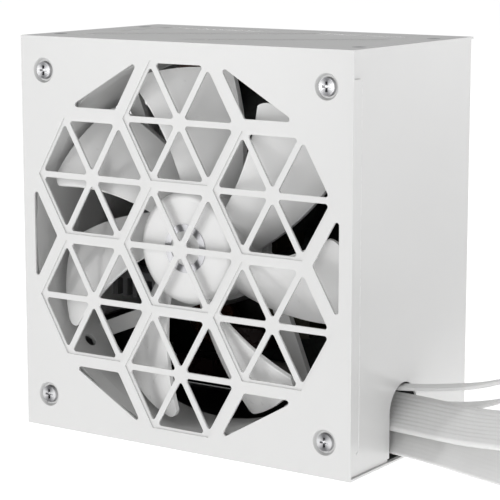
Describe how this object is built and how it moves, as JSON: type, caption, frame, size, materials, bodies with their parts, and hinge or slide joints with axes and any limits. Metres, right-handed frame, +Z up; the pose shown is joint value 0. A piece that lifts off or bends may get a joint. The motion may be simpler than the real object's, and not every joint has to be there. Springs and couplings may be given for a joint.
{
  "type": "computer power supply unit",
  "caption": "Desktop computer power supply standing on its side: white steel box, stamped triangle grille over a large fan, flat cables from an arched outlet.",
  "frame": {"origin": "middle of the narrow side that the casing stands on, at the surface", "axes": "+X towards the cable side, -Y towards the fan side, +Z up"},
  "size_m": [0.3207, 0.1421, 0.15],
  "materials": {
    "case_paint": "satin white enamel",
    "screw_chrome": "polished",
    "zinc_steel": "bright zinc",
    "fan_frame_plastic": "satin moulded white",
    "fan_blade_plastic": "milky white",
    "badge_foil": "satin foil",
    "motor_steel": "satin",
    "bronze": "sintered",
    "clip_plastic": "satin",
    "ferrite": "matt",
    "copper_wire": "enamelled",
    "winding_tape": "taped",
    "board_black": "solder mask",
    "liner_plastic": "satin film",
    "brass_standoff": "turned",
    "heatsink_black": "black anodised",
    "component_black": "moulded",
    "capacitor_sleeve": "shrink sleeve",
    "film_capacitor": "moulded",
    "fuse_ceramic": "glazed",
    "inlet_plastic": "moulded black",
    "pin_nickel": "nickel plated",
    "rocker_plastic": "moulded black",
    "bush_plastic": "moulded black",
    "cable_white": "satin white sheath",
    "plug_plastic": "moulded black",
    "tie_fabric": "hook-and-loop strap"
  },
  "bodies": {
    "casing": {"base_shell": "case_paint", "board_screws": "zinc_steel", "board_standoffs": "brass_standoff", "bridge_rectifier": "component_black", "bulk_capacitor": "capacitor_sleeve", "cable_bush": "bush_plastic", "cable_ties": "tie_fabric", "control_board": "board_black", "cover_shell": "case_paint", "drive_cable": "cable_white", "drive_cable_end": "cable_white", "drive_coil": "cable_white", "drive_plug": "plug_plastic", "fan_bearing": "bronze", "fan_frame": "fan_frame_plastic", "fan_motor_board": "board_black", "fan_screws": "screw_chrome", "fan_stator": "motor_steel", "fan_windings": "copper_wire", "filter_capacitors": "film_capacitor", "inlet_body": "inlet_plastic", "inlet_pins": "pin_nickel", "inlet_screws": "zinc_steel", "line_choke": "copper_wire", "liner": "liner_plastic", "main_board": "board_black", "main_cable": "cable_white", "main_cable_end": "cable_white", "main_coil": "cable_white", "main_fuse": "fuse_ceramic", "main_plug": "plug_plastic", "output_capacitors": "capacitor_sleeve", "output_choke": "copper_wire", "peripheral_cable": "cable_white", "peripheral_cable_end": "cable_white", "peripheral_coil": "cable_white", "peripheral_plug": "plug_plastic", "power_factor_choke": "copper_wire", "power_transistors": "component_black", "primary_heatsink": "heatsink_black", "processor_cable": "cable_white", "processor_cable_end": "cable_white", "processor_coil": "cable_white", "processor_plug": "plug_plastic", "secondary_heatsink": "heatsink_black", "side_screws": "zinc_steel", "standby_transformer": "winding_tape", "switch_body": "inlet_plastic", "switch_terminals": "pin_nickel", "transformer_core": "ferrite", "transformer_winding": "winding_tape"},
    "rotor": {"fan_rotor": "fan_blade_plastic", "hub_badge": "badge_foil", "fan_shaft": "motor_steel", "shaft_clip": "clip_plastic", "rotor_yoke": "motor_steel", "rotor_magnet": "ferrite"},
    "rocker": {"switch_rocker": "rocker_plastic"}
  },
  "joints": [
    {"name": "fan_spin", "type": "hinge", "parent": "casing", "child": "rotor", "pos_m": [0, -0.0295, 0.075], "axis": [0, -1, 0], "continuous": true},
    {"name": "switch_rock", "type": "hinge", "parent": "casing", "child": "rocker", "pos_m": [-0.06814, 0.01, 0.066], "axis": [0, 0, 1], "range_deg": [0, 20]}
  ]
}
